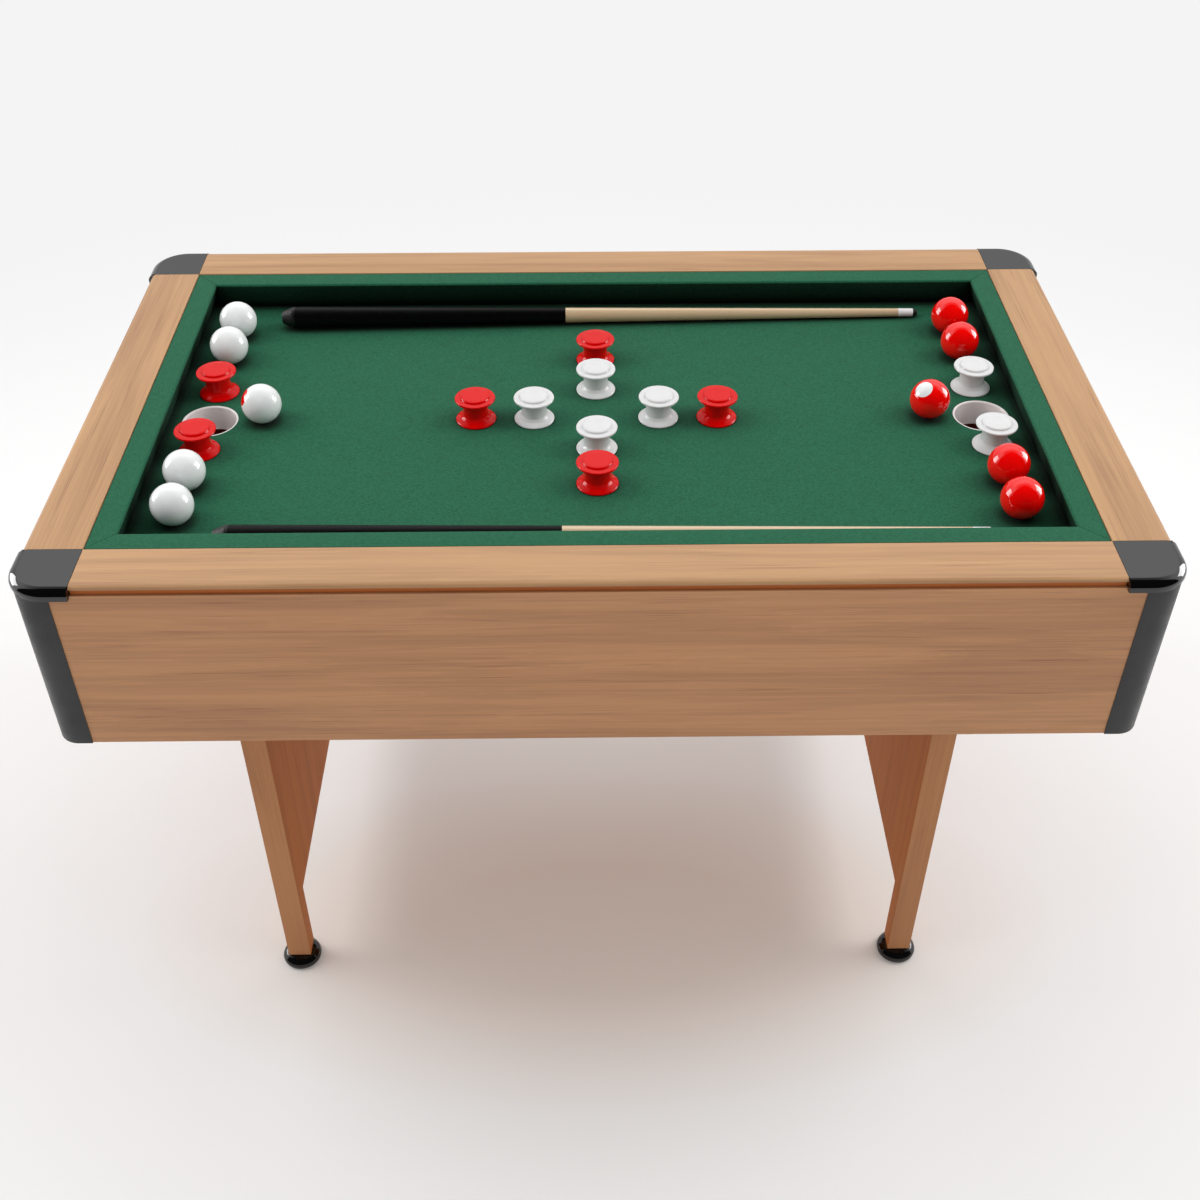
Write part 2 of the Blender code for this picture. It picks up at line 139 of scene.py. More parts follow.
SIDES = {  # turn about Z, distance of the rail's inner edge, half length of the rail
    "back": (0, FIELD_HALF_Y, FIELD_HALF_X),
    "left": (90, FIELD_HALF_X, FIELD_HALF_Y),
    "front": (180, FIELD_HALF_Y, FIELD_HALF_X),
    "right": (270, FIELD_HALF_X, FIELD_HALF_Y),
}
CORNERS = {  # turn about Z and signs of X and Y
    "back_right": (0, 1, 1),
    "back_left": (90, -1, 1),
    "front_left": (180, -1, -1),
    "front_right": (270, 1, -1),
}


# ---------------------------------------------------------------- materials


class Finish:
    """One procedural material, whose nodes are added one at a time."""

    def __init__(self, name, **constants):
        self.material = bpy.data.materials.new(name)
        self.material.use_nodes = True
        self.tree = self.material.node_tree
        self.shader = self.tree.nodes["Principled BSDF"]
        for key, value in constants.items():
            self.shader.inputs[key.replace("_", " ")].default_value = value
        self.object_at = self.add("TexCoord").outputs["Object"]

    def add(self, kind, values=None, **settings):
        node = self.tree.nodes.new(f"ShaderNode{kind}")
        for key, value in settings.items():
            setattr(node, key, value)
        for key, value in (values or {}).items():
            self.put(node.inputs[key], value)
        return node

    def put(self, socket, value):
        if isinstance(value, bpy.types.NodeSocket):
            self.tree.links.new(value, socket)
        else:
            socket.default_value = value

    def math(self, operation, first, second=0.0):
        return self.add("Math", {0: first, 1: second}, operation=operation).outputs[0]

    def stretched(self, scale, shift=(0, 0, 0)):
        """Object coordinates, scaled and shifted."""
        return self.add("Mapping", {"Vector": self.object_at, "Scale": scale, "Location": shift}).outputs[0]

    def noise(self, where, scale, detail=3.0, roughness=0.5, distortion=0.0):
        values = {"Vector": where, "Scale": scale, "Detail": detail, "Roughness": roughness}
        values["Distortion"] = distortion
        return self.add("TexNoise", values).outputs["Fac"]

    def ramp(self, value, stops):
        """Colours by value. stops are (position, colour)."""
        node = self.add("ValToRGB", {"Fac": value})
        elements = node.color_ramp.elements
        while len(elements) < len(stops):
            elements.new(0.5)
        for element, (position, color) in zip(elements, stops):
            element.position = position
            element.color = (*color, 1) if hasattr(color, "__len__") else (color, color, color, 1)
        return node.outputs["Color"]

    def spread(self, value, low, high, start=0.0, end=1.0):
        """value from start..end, as low..high."""
        values = {"Value": value, "From Min": start, "From Max": end, "To Min": low, "To Max": high}
        return self.add("MapRange", values).outputs[0]

    def mix(self, factor, first, second, blend="MIX"):
        node = self.add("Mix", data_type="RGBA", blend_type=blend)
        for socket, value in ((node.inputs[0], factor), (node.inputs[6], first), (node.inputs[7], second)):
            self.put(socket, (*value, 1) if isinstance(value, tuple) else value)
        return node.outputs[2]

    def bump(self, height, distance, strength=1.0):
        values = {"Height": height, "Distance": distance, "Strength": strength}
        return self.add("Bump", values).outputs["Normal"]

    def done(self, color=None, roughness=None, normal=None):
        for key, value in (("Base Color", color), ("Roughness", roughness), ("Normal", normal)):
            if value is not None:
                self.put(self.shader.inputs[key], value)
        return self.material


def scaled(color, factor):
    return tuple(channel * factor for channel in color)


def wood(name, color, seed, along="X", roughness=0.42, contrast=1.0, specular=0.4, coat=0.0):
    """Satin laminate, printed along one axis with broad bands, streaks, fine fibres and sparse dark lines."""
    made = Finish(name, Specular_IOR_Level=specular, Coat_Weight=coat, Coat_Roughness=0.1)
    shift = (1.37 * seed, 0.71 * seed, 2.13 * seed)

    def across(factor):
        return {"X": (1, factor, factor), "Y": (factor, 1, factor), "Z": (factor, factor, 1)}[along]

    band = made.noise(made.stretched(across(16.0), shift), 1.7, 3.0, 0.5, 0.9)
    streak = made.noise(made.stretched(across(72.0), shift), 3.0, 5.0, 0.65, 0.3)
    fibre = made.noise(made.stretched(across(120.0), shift), 9.0, 2.0, 0.6)
    sparse = made.noise(made.stretched(across(30.0), shift), 3.6, 2.0, 0.5, 0.5)
    rings = made.math("FRACT", made.math("MULTIPLY", band, 11.0))
    rings = made.spread(made.math("ABSOLUTE", made.math("SUBTRACT", rings, 0.5)), 0.0, 1.0, 0.5, 0.34)
    value = made.math("ADD", made.math("MULTIPLY", band, 0.48), made.math("MULTIPLY", streak, 0.37))
    value = made.math("ADD", value, made.math("MULTIPLY", fibre, 0.15))
    red, green, blue = color
    tones = []
    for position, change in ((0.36, -0.17), (0.47, -0.05), (0.53, 0.03), (0.65, 0.11)):
        change *= contrast
        tones.append((position, (red * (1 + change), green * (1 + 1.2 * change), blue * (1 + 1.14 * change))))
    tone = made.ramp(value, tones)
    dark = (0.78, 0.735, 0.75)
    tone = made.mix(made.math("MULTIPLY", rings, 0.16 * contrast), tone, dark, "MULTIPLY")
    lines = made.spread(fibre, 0.0, 1.0, 0.47, 0.36)
    lines = made.math("MULTIPLY", lines, made.spread(sparse, 0.0, 1.0, 0.46, 0.36))
    tone = made.mix(made.math("MULTIPLY", lines, 0.85 * contrast), tone, dark, "MULTIPLY")
    smudge = made.noise(made.object_at, 7.0, 2.0)
    smudge = made.math("ADD", smudge, made.math("MULTIPLY", lines, 0.4))
    rough = made.spread(smudge, roughness - 0.05, roughness + 0.10)
    return made.done(tone, rough, made.bump(made.math("SUBTRACT", fibre, lines), 0.00008, 0.5))


def cloth(name, color, seed, mottle, sheen=0.05):
    """Felted green baize: a fine weave under a short nap, and painted shade near what touches it."""
    made = Finish(name, Sheen_Weight=sheen, Sheen_Roughness=0.6, Specular_IOR_Level=0.15, Roughness=0.95)
    made.shader.inputs["Sheen Tint"].default_value = (0.55, 0.85, 0.65, 1)
    shift = (seed, 0.4 * seed, 0)
    nap = made.noise(made.stretched((1.0, 1.7, 1.7), shift), 310.0, 3.0, 0.7)
    cloud = made.noise(made.stretched((1.0, 1.4, 1.4), shift), 26.0, 4.0, 0.6)
    yarn = {"Vector": made.object_at, "Scale": 360.0, "Distortion": 0.6, "Detail": 1.0, "Detail Scale": 3.0}
    threads = []
    for direction in ("X", "Y"):
        wave = made.add("TexWave", yarn, wave_type="BANDS", bands_direction=direction)
        threads.append(wave.outputs["Fac"])
    weave = made.math("MAXIMUM", *threads)
    value = made.math("ADD", made.math("MULTIPLY", nap, 0.80), made.math("MULTIPLY", cloud, 0.07))
    value = made.math("ADD", value, made.math("MULTIPLY", weave, 0.13))
    tones = [(0.38, scaled(color, 1 - mottle)), (0.50, color), (0.62, scaled(color, 1 + mottle))]
    height = made.math("ADD", made.math("MULTIPLY", nap, 0.7), made.math("MULTIPLY", weave, 0.5))
    tone = made.ramp(value, tones)
    # Painted shade: ambient occlusion multiplied into the colour darkens the cloth under the cushions and
    # round the balls.
    shades = ((0.045, [(0.28, (0.22, 0.29, 0.26)), (0.55, (0.62, 0.67, 0.65)), (0.88, 1.0)]),
              (0.016, [(0.38, (0.05, 0.17, 0.13)), (0.60, (0.38, 0.50, 0.46)), (0.80, 0.88), (0.92, 1.0)]))
    for reach, stops in shades:
        near = made.add("AmbientOcclusion", {"Distance": reach}, samples=8).outputs["AO"]
        tone = made.mix(1.0, tone, made.ramp(near, stops), "MULTIPLY")
    return made.done(tone, 0.95, made.bump(height, 0.0006, 0.55))


def plastic(name, color, roughness, peel=0.00002, coat=0.0, mottle=0.05, **constants):
    """Moulded plastic: a faint orange peel, smudges in its gloss and slightly uneven colour."""
    made = Finish(name, Coat_Weight=coat, Coat_Roughness=0.03, **constants)
    uneven = made.noise(made.object_at, 60.0, 3.0, 0.6)
    specks = made.noise(made.object_at, 900.0, 2.0, 0.5)
    value = made.math("ADD", made.math("MULTIPLY", uneven, 0.7), made.math("MULTIPLY", specks, 0.3))
    tone = made.ramp(value, [(0.3, scaled(color, 1 - mottle)), (0.7, scaled(color, 1 + mottle))])
    smudge = made.noise(made.object_at, 22.0, 4.0, 0.65)
    rough = made.spread(smudge, roughness * 0.75, roughness * 1.35, 0.3, 0.7)
    return made.done(tone, rough, made.bump(made.noise(made.object_at, 260.0, 2.0), peel, 0.6))


def fibreboard(name, color):
    """Raw pressed board: short fibres and darker chips."""
    made = Finish(name, Specular_IOR_Level=0.2)
    fibre = made.noise(made.object_at, 420.0, 4.0, 0.7)
    chips = made.add("TexVoronoi", {"Vector": made.object_at, "Scale": 240.0}).outputs["Color"]
    cloud = made.noise(made.object_at, 9.0, 3.0)
    value = made.math("ADD", made.math("MULTIPLY", fibre, 0.7), made.math("MULTIPLY", cloud, 0.3))
    tone = made.ramp(value, [(0.35, scaled(color, 0.72)), (0.65, scaled(color, 1.22))])
    tone = made.mix(0.18, tone, chips, "SOFT_LIGHT")
    return made.done(tone, 0.85, made.bump(fibre, 0.0003, 0.6))


def ball_resin(name, color):
    """Polished resin, with hair scratches and a little chalk that only its gloss shows."""
    made = Finish(name, Coat_Weight=0.35, Coat_Roughness=0.012, Specular_IOR_Level=0.45)
    cloud = made.noise(made.object_at, 45.0, 3.0)
    tone = made.ramp(cloud, [(0.3, scaled(color, 0.97)), (0.7, scaled(color, 1.02))])
    scratches = made.noise(made.stretched((1, 14, 5)), 90.0, 4.0, 0.7)
    rough = made.spread(scratches, 0.012, 0.05, 0.35, 0.75)
    return made.done(tone, rough)


def butt_wrap(name, color):
    """Black lacquer over a fine cross-hatched grip."""
    made = Finish(name, Specular_IOR_Level=0.14)
    grip = made.add("TexVoronoi", {"Vector": made.stretched((1, 1, 0.55)), "Scale": 620.0})
    cloud = made.noise(made.object_at, 80.0, 3.0)
    tone = made.ramp(cloud, [(0.3, scaled(color, 0.8)), (0.7, scaled(color, 1.3))])
    return made.done(tone, made.spread(cloud, 0.34, 0.50), made.bump(grip.outputs["Distance"], 0.00025, 0.7))


def make_materials():
    # The legs' laminate is painted darker and redder than the aprons' as the shade beneath the table.
    rail, apron, leg = (0.480, 0.268, 0.126), (0.536, 0.260, 0.116), (0.436, 0.136, 0.026)
    made = {}
    for seed, side in enumerate(SIDES, 1):
        made[f"rail_{side}"] = wood(f"rail_wood_{side}", rail, seed, contrast=1.15)
    for seed, side in enumerate(SIDES, 5):
        made[f"apron_{side}"] = wood(f"apron_wood_{side}", apron, seed, contrast=1.25)
    for seed, side in enumerate(("left", "right"), 9):
        made[f"leg_{side}"] = wood(f"leg_wood_{side}", leg, seed, "Z", roughness=0.55, specular=0.12)
    # The groove under the rail's lip: the laminate painted darker and redder as the shade inside the recess.
    made["strip"] = wood("groove_strip_painted_shade", (0.445, 0.112, 0.0105), 11, roughness=0.5, contrast=0.6)
    edge = (0.485, 0.219, 0.093)
    made["leg_edge"] = wood("leg_edge_band", edge, 12, "Z", roughness=0.5, contrast=0.8, specular=0.2)
    maple = (0.605, 0.435, 0.262)
    made["shaft"] = wood("cue_shaft_maple", maple, 13, "Z", 0.2, contrast=0.35, specular=1.0, coat=0.8)
    made["bed_cloth"] = cloth("bed_baize", (0.0150, 0.1045, 0.0533), 0.0, mottle=0.28)
    made["cushion_cloth"] = cloth("cushion_baize", (0.0150, 0.1060, 0.0540), 3.1, mottle=0.22)
    # The undercut's baize, painted darker as the shade under the cushion's nose.
    made["under_cloth"] = cloth("cushion_underside_painted_shade", (0.0077, 0.0440, 0.0240), 1.7, mottle=0.3, sheen=0.0)
    made["board"] = fibreboard("board_fibre", (0.62, 0.36, 0.17))
    made["tray"] = fibreboard("tray_fibre", (0.160, 0.020, 0.013))
    black, grey = (0.0015, 0.0015, 0.0015), (0.036, 0.035, 0.036)
    made["cap"] = plastic("cap_gloss", black, 0.03, peel=0.000006, coat=0.3, Specular_IOR_Level=0.6)
    made["trim"] = plastic("trim_satin", grey, 0.42, peel=0.00006, mottle=0.08, Specular_IOR_Level=0.35)
    made["foot"] = plastic("foot_gloss", (0.003, 0.003, 0.003), 0.05)
    made["thread"] = plastic("thread_zinc", (0.45, 0.45, 0.46), 0.35, Metallic=1.0)
    made["white"] = plastic("bumper_white", (0.67, 0.67, 0.67), 0.12, Specular_IOR_Level=0.28)
    made["red"] = plastic("bumper_red", (0.65, 0.0010, 0.0010), 0.12, Specular_IOR_Level=0.20)
    made["liner"] = plastic("liner_white", (0.94, 0.90, 0.885), 0.07)
    made["ball_white"] = ball_resin("ball_resin_white", (0.85, 0.87, 0.865))
    made["ball_red"] = ball_resin("ball_resin_red", (0.92, 0.0010, 0.0004))
    made["butt"] = butt_wrap("cue_butt_grip", black)
    made["butt_end"] = plastic("cue_butt_rubber", (0.004, 0.004, 0.004), 0.5, peel=0.0001)
    made["ferrule"] = plastic("cue_ferrule", (0.78, 0.78, 0.78), 0.25)
    made["tip"] = plastic("cue_tip", (0.010, 0.010, 0.012), 0.7, peel=0.0002)
    return made


# ---------------------------------------------------------------- meshes


def mesh_of(name, bm, sharp_degrees=35):
    """The bmesh as a mesh, with its faces pointing out and shaded smooth up to an angle."""
    bmesh.ops.recalc_face_normals(bm, faces=bm.faces)
    mesh = bpy.data.meshes.new(name)
    bm.to_mesh(mesh)
    bm.free()
    mesh.shade_smooth()
    mesh.set_sharp_from_angle(angle=radians(sharp_degrees))
    return mesh


def arc(middle, radius, start, end, steps):
    """Points of an arc between two angles in degrees."""
    angles = [radians(start + (end - start) * k / steps) for k in range(steps + 1)]
    return [(middle[0] + radius * cos(a), middle[1] + radius * sin(a)) for a in angles]


def rounded(corners, closed=True, steps=5):
    """(x, y, radius) corners as (x, y) points, each corner with a radius drawn as a curve."""
    points = []
    for k, (x, y, radius) in enumerate(corners):
        if radius == 0 or (not closed and k in (0, len(corners) - 1)):
            points.append((x, y))
            continue
        here = Vector((x, y))
        before = (Vector(corners[k - 1][:2]) - here).normalized()
        after = (Vector(corners[(k + 1) % len(corners)][:2]) - here).normalized()
        reach = radius / tan(before.angle(after) / 2)
        start, end = here + before * reach, here + after * reach
        for step in range(steps + 1):
            t = step / steps
            points.append(tuple(start * (1 - t) ** 2 + here * 2 * t * (1 - t) + end * t**2))
    return points


def lofted(name, rings, slots=None, sharp_degrees=35):
    """A solid through closed rings of equally many points. slots give the material of each strip round it."""
    bm = bmesh.new()
    loops = [[bm.verts.new(point) for point in ring] for ring in rings]
    for upper, lower in zip(loops, loops[1:]):
        for k in range(len(upper)):
            after = (k + 1) % len(upper)
            face = bm.faces.new((upper[k], upper[after], lower[after], lower[k]))
            face.material_index = slots[k] if slots else 0
    bm.faces.new(loops[0])
    bm.faces.new(loops[-1])
    return mesh_of(name, bm, sharp_degrees)


def turned(name, profile, segments=64, slots=None, closed=False, sharp_degrees=35):
    """(radius, height) points spun about Z. slots give the material of each stretch of the profile."""
    bm = bmesh.new()
    rings = []
    for radius, height in profile:
        count = 1 if radius < 1e-7 else segments
        turns = [2 * pi * k / segments for k in range(count)]
        rings.append([bm.verts.new((radius * cos(a), radius * sin(a), height)) for a in turns])
    following = rings[1:] + rings[:1] if closed else rings[1:]
    for number, (upper, lower) in enumerate(zip(rings, following)):
        for k in range(segments):
            after = (k + 1) % segments
            corners = [upper[k % len(upper)], upper[after % len(upper)]]
            corners += [lower[after % len(lower)], lower[k % len(lower)]]
            face = bm.faces.new(list(dict.fromkeys(corners)))
            face.material_index = slots[number] if slots else 0
    return mesh_of(name, bm, sharp_degrees)


def slab(name, low, high, hole=None):
    """A board between two corners, with an optional rectangular hole through it along Y, given by X and Z."""
    outer = [(low[0], low[2]), (high[0], high[2])]
    bm = bmesh.new()

    def rectangle(box, y):
        (x0, z0), (x1, z1) = box
        return [bm.verts.new((x, y, z)) for x, z in ((x0, z0), (x1, z0), (x1, z1), (x0, z1))]

    near, far = (rectangle(outer, y) for y in (low[1], high[1]))
    pairs = [(near, far)]
    if hole:
        near_hole, far_hole = (rectangle(hole, y) for y in (low[1], high[1]))
        pairs += [(near, near_hole), (far, far_hole), (near_hole, far_hole)]
    else:
        bm.faces.new(near)
        bm.faces.new(far)
    for one, other in pairs:
        for k in range(4):
            after = (k + 1) % 4
            bm.faces.new((one[k], one[after], other[after], other[k]))
    return mesh_of(name, bm)


def piece(name, mesh, stuff, node, slot, body="root", at=(0, 0, 0), turn=0, rotation=None, edge=0.0):
    """A new piece that rides on a body and stands for a CAD node. edge rounds its sharp edges."""
    for material in stuff if isinstance(stuff, (list, tuple)) else [stuff]:
        mesh.materials.append(material)
    made = bpy.data.objects.new(name, mesh)
    bpy.context.collection.objects.link(made)
    made.location = at
    made.rotation_euler = rotation or (0, 0, radians(turn))
    if edge:
        bevel = made.modifiers.new("edges", "BEVEL")
        bevel.width = edge
        bevel.segments = 2
        bevel.limit_method = "ANGLE"
        bevel.angle_limit = radians(40)
        bevel.harden_normals = True
    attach(made, body)
    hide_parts(node)
    return made


# ---------------------------------------------------------------- cabinet


def rail_outline():
    """The rail's section and each edge's material: 0 veneer, 1 groove strip, painted dark as the shade in the
    recess.
    """
    outer = BORDER + RAIL_OVERHANG
    run, drop = RAIL_ROUND
    top = [(GAP, -0.0006), (GAP + 0.0002, -0.0002), (GAP + 0.0007, 0)]
    top += [(outer - run + run * y, drop * z - drop) for y, z in arc((0, 0), 1, 90, 0, 12)]
    groove = BORDER - GROOVE_DEPTH
    under = BED_TOP + GAP - RAIL_TOP
    lip = [(outer, -RAIL_LIP), (groove, -RAIL_LIP), (groove, -GROOVE_BOTTOM)]
    below = [(RAIL_INNER_THICKNESS, -GROOVE_BOTTOM), (RAIL_INNER_THICKNESS, under), (GAP, under)]
    slots = [0] * len(top) + [1, 1, 1] + [0] * 3
    return top + lip + below, slots


def cushion_outline():
    """The cushion's section and each edge's material: 0 top and nose, 1 the face cut back under the nose,
    painted dark as its shade.
    """
    nose = (-CUSHION_WIDTH + NOSE_RADIUS, -2 * CUSHION_DROP - NOSE_RADIUS)
    floor = 2 * GAP - (RAIL_TOP - FIELD_Z)
    curve = arc(nose, NOSE_RADIUS, 92, 202, 12)
    top = [(-0.0001, -0.0032), (-0.0003, -0.0018), (-0.0012, -CUSHION_DROP)]
    top += [(-0.006, -CUSHION_DROP - 0.0001), (-0.015, -CUSHION_DROP - 0.0002)]
    slots = [0] * (len(top) + len(curve) - 3) + [1] * 4 + [0]
    return [*top, *curve, (-CUSHION_FOOT, floor), (-0.0001, floor)], slots


def make_rail(side, half, place, stuff):
    outline, slots = rail_outline()
    reach = half - GAP
    mesh = lofted(f"rail_{side}_wood", [[(x, y, z) for y, z in outline] for x in (-reach, reach)], slots)
    materials = [stuff[f"rail_{side}"], stuff["strip"]]
    piece(f"rail_{side}_wood", mesh, materials, f"rail_{side}", "rail_wood", **place)


def make_cushion(side, half, place, stuff):
    outline, slots = cushion_outline()
    ends = [[(sign * (half + y - GAP), y, z) for y, z in outline] for sign in (-1, 1)]
    mesh = lofted(f"cushion_{side}_cloth", ends, slots)
    materials = [stuff["cushion_cloth"], stuff["under_cloth"]]
    made = piece(f"cushion_{side}_cloth", mesh, materials, f"cushion_{side}", "cushion_cloth", **place)


def make_apron(side, half, place, stuff):
    reach = half + BORDER + TRIM_PROUD - TRIM_RADIUS - GAP
    low = (-reach, BORDER - APRON_THICKNESS, APRON_BOTTOM - RAIL_TOP)
    high = (reach, BORDER, -GROOVE_BOTTOM - GAP)
    hole = None
    if side in ("left", "right"):
        hole = [(-WINDOW_HALF_Y, WINDOW_Z[0] - RAIL_TOP), (WINDOW_HALF_Y, WINDOW_Z[1] - RAIL_TOP)]
    mesh = slab(f"apron_{side}_wood", low, high, hole)
    piece(f"apron_{side}_wood", mesh, stuff[f"apron_{side}"], f"apron_{side}", "apron_wood", edge=0.0007,
          **place)


def make_sides(stuff):
    """A rail, a cushion and an apron on each side, all drawn for the back and turned about Z."""
    for side, (turn, inner, half) in SIDES.items():
        spin = Matrix.Rotation(radians(turn), 3, "Z")
        place = {"at": tuple(spin @ Vector((0, inner, RAIL_TOP))), "turn": turn}
        make_rail(side, half, place, stuff)
        make_cushion(side, half, place, stuff)
        make_apron(side, half, place, stuff)


def cap_ring(inset, z, inner, steps=20):
    """The cap's outline. Where it passes over the aprons' ends it stays above them."""
    outer = BORDER + CAP_OVERHANG - inset
    radius = CAP_RADIUS - inset
    face = BORDER + 2 * GAP
    corner = arc((outer - radius, outer - radius), radius, 0, 90, steps)
    outline = [(inner, inner), (face, inner), (face + GAP, inner), (outer, inner), *corner]
    outline += [(inner, outer), (inner, face + GAP), (inner, face)]
    over = max(z, GAP - GROOVE_BOTTOM)
    return [(x, y, over if max(x, y) <= face + GAP / 2 else z) for x, y in outline]


def corner_cap_mesh():
    """A shell over the corner: a flat top, a shoulder that curves down to the rim, and a hollow under it."""
    run, drop = CAP_SHOULDER
    rings = [cap_ring(run + 0.0006, 0, GAP), cap_ring(run, 0, GAP)]
    for k in range(1, 13):
        t = k / 12
        out = 2 * t * (1 - t) * CAP_SHOULDER_BEND[0] + t * t * run
        down = 2 * t * (1 - t) * CAP_SHOULDER_BEND[1] + t * t * drop
        rings.append(cap_ring(run - out, -down, GAP))
    bottom = CAP_BOTTOM - RAIL_TOP
    rings += [cap_ring(0, bottom + 0.0005, GAP), cap_ring(0.0005, bottom, GAP)]
    rings += [cap_ring(CAP_WALL, z, CAP_WALL) for z in (bottom, -drop)]
    rings.append(cap_ring(run, -CAP_WALL, CAP_WALL))
    return lofted("corner_cap", rings, sharp_degrees=18)


def corner_trim_mesh():
    """A rounded upright trim with a slot for the end of each apron, drawn from above."""
    outer = BORDER + TRIM_PROUD
    bend = outer - TRIM_RADIUS
    tip = bend - TRIM_FLANGE
    flange = BORDER + GAP
    slot = BORDER - APRON_THICKNESS - GAP
    wall_radius = TRIM_RADIUS - TRIM_WALL
    first = degrees(asin(TRIM_WEB / wall_radius))
    half = [(outer, tip + 0.0006), (outer - 0.0005, tip), (flange, tip), (flange, bend)]
    half += [(slot, bend), (slot, tip), (slot - TRIM_WEB, tip), (slot - TRIM_WEB, bend + TRIM_WEB)]
    outline = half + arc((bend, bend), wall_radius, first, 90 - first, 20)
    outline += [(y, x) for x, y in reversed(half)]
    outline += arc((bend, bend), TRIM_RADIUS, 90, 0, 28)
    rings = [[(x, y, z) for x, y in outline] for z in (0, TRIM_TOP - APRON_BOTTOM)]
    return lofted("corner_trim", rings, sharp_degrees=50)


def make_corners(stuff):
    for corner, (turn, sign_x, sign_y) in CORNERS.items():
        x, y = sign_x * FIELD_HALF_X, sign_y * FIELD_HALF_Y
        piece(f"cap_{corner}", corner_cap_mesh(), stuff["cap"], f"corner_cap_{corner}", "cap_plastic",
              at=(x, y, RAIL_TOP), turn=turn)
        piece(f"trim_{corner}", corner_trim_mesh(), stuff["trim"], f"corner_trim_{corner}", "trim_plastic",
              at=(x, y, APRON_BOTTOM), turn=turn)


# ---------------------------------------------------------------- bed


def pierced_sheet(low, high, radius, steps=96):
    """A sheet or board with a round hole for each pocket."""
    bm = bmesh.new()
    corners = [(low.x, low.y), (high.x, low.y), (high.x, high.y), (low.x, high.y)]
    turns = [2 * pi * (k + 0.5) / steps for k in range(steps)]
    holes = [[(x + radius * cos(a), radius * sin(a)) for a in turns] for x in (-POCKET_X, POCKET_X)]
    layers = []
    for z in (low.z, high.z):
        rings = [[bm.verts.new((x, y, z)) for x, y in outline] for outline in (corners, *holes)]
        edges = [bm.edges.new((ring[k - 1], ring[k])) for ring in rings for k in range(len(ring))]
        bmesh.ops.triangle_fill(bm, use_beauty=True, edges=edges)
        layers.append(rings)
    for below, above in zip(*layers):
        for k in range(len(below)):
            after = (k + 1) % len(below)
            bm.faces.new((below[k], below[after], above[after], above[k]))
    return mesh_of("bed_cloth", bm)


def make_bed(stuff):
    mesh = pierced_sheet(*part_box("bed_cloth"), POCKET_RADIUS - CLOTH_TURN)
    made = piece("bed_baize", mesh, stuff["bed_cloth"], "bed_cloth", "bed_cloth")

    board = pierced_sheet(*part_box("bed_board"), POCKET_RADIUS)
    piece("bed_board_raw", board, stuff["board"], "bed_board", "board", edge=0.0005)
    for side in ("left", "right"):
        beam = slab("bed_beam", *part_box(f"bed_beam_{side}"))
        piece(f"bed_beam_{side}_raw", beam, stuff["board"], f"bed_beam_{side}", "board", edge=0.001)


def make_pockets(stuff):
    """White liner tubes, and the open trays under them."""
    outer = POCKET_RADIUS - GAP
    inner = outer - LINER_WALL
    bottom = LINER_BOTTOM - FIELD_Z
    start, end = (outer, -0.004, 0), (inner, -0.008, 0)
    lip = rounded([start, (outer, 0, 0.0006), (inner, 0, 0.0022), end], False, 8)
    foot = rounded([end, (inner, bottom, 0.0008), (outer, bottom, 0.0008), start], False)
    profile = lip + foot[1:-1]
    for side, sign in (("left", -1), ("right", 1)):
        mesh = turned(f"liner_{side}", profile, 96, closed=True)
        piece(f"liner_{side}", mesh, stuff["liner"], f"pocket_liner_{side}", "white_plastic",
              at=(sign * POCKET_X, 0, FIELD_Z))
        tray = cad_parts[f"ball_tray_{side}"]
        tray.data.materials.clear()
        tray.data.materials.append(stuff["tray"])


# ---------------------------------------------------------------- legs


def leg_mesh():
    """The end board, drawn as one face with a rounded arch and given its thickness along X."""
    y = LEG_HIGH.y
    inner = y - LEG_POST_DEPTH
    corners = [(-y, LEG_LOW.z, 0), (-inner, LEG_LOW.z, 0), (-inner, LEG_ARCH_TOP, 0.0015)]
    corners += [(inner, LEG_ARCH_TOP, 0.0015), (inner, LEG_LOW.z, 0), (y, LEG_LOW.z, 0)]
    corners += [(y, LEG_HIGH.z, 0), (-y, LEG_HIGH.z, 0)]
    outline = rounded(corners, steps=4)
    rings = [[(x, *point) for point in outline] for x in (LEG_LOW.x, LEG_HIGH.x)]
    return lofted("leg_frame", rings, slots=[1] * len(outline))


def leveller_mesh():
    """The domed foot, and a stem with the ridges of its thread."""
    dome = rounded(
        [
            (STEM_RADIUS, 0.0199, 0),
            (0.0120, 0.0199, 0.0012),
            (0.0150, 0.0186, 0.004),
            (0.0225, 0.0161, 0.006),
            (0.0274, 0.0110, 0.004),
            (0.0288, 0.0070, 0.002),
            (0.0284, 0.0030, 0.0015),
            (0.0255, 0, 0.001),
            (0, 0, 0),
        ],
        False,
        6,
    )
    stem = [(0, STEM_TOP), (0.0028, STEM_TOP), (0.0035, STEM_TOP - 0.0007)]
    z = STEM_TOP - 0.001
    while z > 0.0215:
        stem += [(STEM_RADIUS, z), (STEM_RADIUS, z - 0.0001)]
        stem += [(THREAD_ROOT, z - THREAD_PITCH / 2), (THREAD_ROOT, z - THREAD_PITCH / 2 - 0.0001)]
        z -= THREAD_PITCH
    profile = stem + dome
    slots = [1] * len(stem) + [0] * (len(dome) - 1)
    return turned("leveller", profile, 48, slots)


